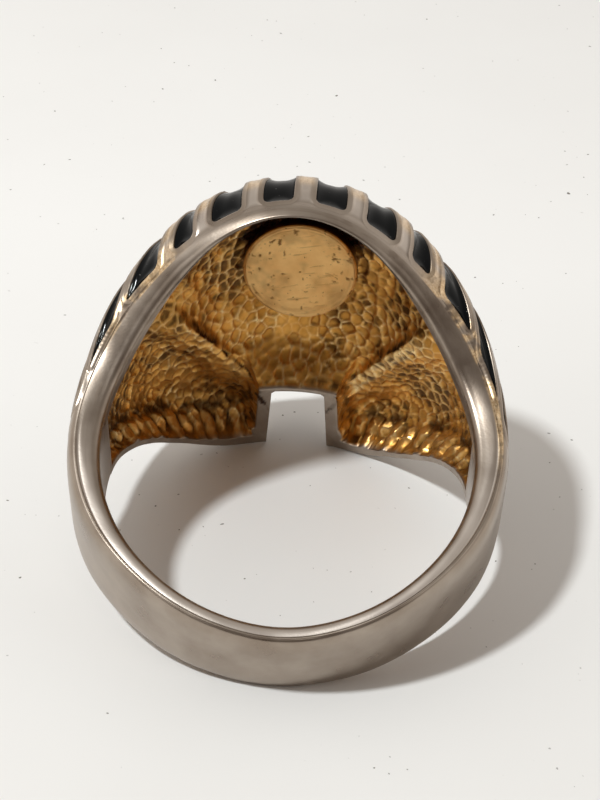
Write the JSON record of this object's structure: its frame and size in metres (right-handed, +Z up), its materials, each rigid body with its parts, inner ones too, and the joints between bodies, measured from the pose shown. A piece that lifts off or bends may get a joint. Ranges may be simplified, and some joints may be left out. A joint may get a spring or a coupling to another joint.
{
  "type": "egyptian revival ring",
  "caption": "Hollow-cast finger ring: a pharaoh's head in a headcloth striped with black enamel, gilt inside, on a plain tapered shank, lying on its side.",
  "frame": {"origin": "middle of the ring's box at the floor it lies on", "axes": "+Z up from the floor, +Y from the back of the shank towards the side that carries the head, +X to the right of a viewer who looks along +Y"},
  "size_m": [0.0224, 0.026, 0.0197],
  "materials": {
    "metal": "satin silver-toned metal, gilt inside the head",
    "enamel": "glossy black enamel"
  },
  "bodies": {
    "root": {"ring_body": "metal", "enamel_right_1": "enamel", "enamel_right_2": "enamel", "enamel_right_3": "enamel", "enamel_right_4": "enamel", "enamel_right_5": "enamel", "enamel_right_6": "enamel", "enamel_right_7": "enamel", "enamel_right_8": "enamel", "enamel_right_9": "enamel", "enamel_right_10": "enamel", "enamel_left_1": "enamel", "enamel_left_2": "enamel", "enamel_left_3": "enamel", "enamel_left_4": "enamel", "enamel_left_5": "enamel", "enamel_left_6": "enamel", "enamel_left_7": "enamel", "enamel_left_8": "enamel", "enamel_left_9": "enamel", "enamel_left_10": "enamel", "lappet_right_1": "enamel", "lappet_right_2": "enamel", "lappet_right_3": "enamel", "lappet_right_4": "enamel", "lappet_left_1": "enamel", "lappet_left_2": "enamel", "lappet_left_3": "enamel", "lappet_left_4": "enamel"}
  },
  "joints": []
}
